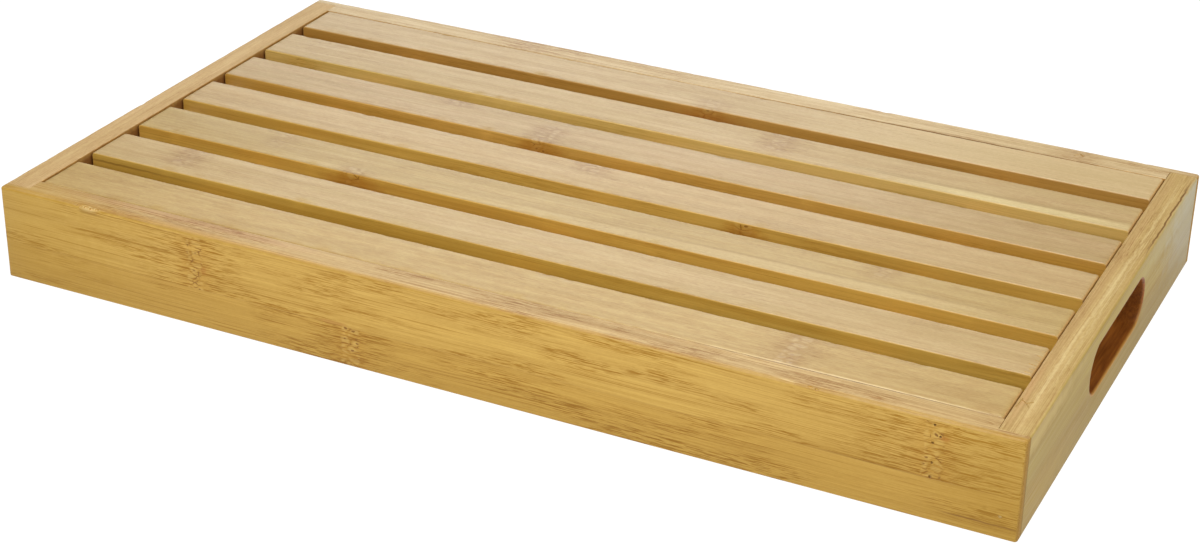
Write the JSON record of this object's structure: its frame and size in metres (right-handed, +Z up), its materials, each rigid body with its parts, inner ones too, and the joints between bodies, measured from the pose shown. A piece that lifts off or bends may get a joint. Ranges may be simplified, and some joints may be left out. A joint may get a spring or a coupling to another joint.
{
  "type": "cutting board with crumb tray",
  "caption": "Shallow bamboo bread board: a slatted grate lies level with the rim of a crumb tray and lifts out, and a finger slot goes through each end wall.",
  "frame": {"origin": "centre of the tray's underside, on the surface that it stands on", "axes": "+X along the board towards the right end wall, +Y from the front wall to the back wall, +Z up, the way the grate lifts out"},
  "size_m": [0.425, 0.24, 0.04],
  "materials": {
    "bamboo_walls": "planed and sanded bamboo, thin satin oil",
    "bamboo_slats": "planed and sanded bamboo, thin satin oil",
    "bamboo_battens": "sawn and sanded bamboo, matt",
    "bamboo_panel": "pressed bamboo sheet, matt",
    "screw_steel": "zinc plated, satin"
  },
  "bodies": {
    "tray": {"front_wall": "bamboo_walls", "back_wall": "bamboo_walls", "left_wall": "bamboo_walls", "right_wall": "bamboo_walls", "bottom_panel": "bamboo_panel"},
    "grate": {"slat_1": "bamboo_slats", "slat_2": "bamboo_slats", "slat_3": "bamboo_slats", "slat_4": "bamboo_slats", "slat_5": "bamboo_slats", "slat_6": "bamboo_slats", "slat_7": "bamboo_slats", "left_batten": "bamboo_battens", "middle_batten": "bamboo_battens", "right_batten": "bamboo_battens", "left_batten_screws": "screw_steel", "middle_batten_screws": "screw_steel", "right_batten_screws": "screw_steel"}
  },
  "joints": [
    {"name": "grate_lift", "type": "slide", "parent": "tray", "child": "grate", "axis": [0, 0, 1], "range_m": [0, 0.06]}
  ]
}
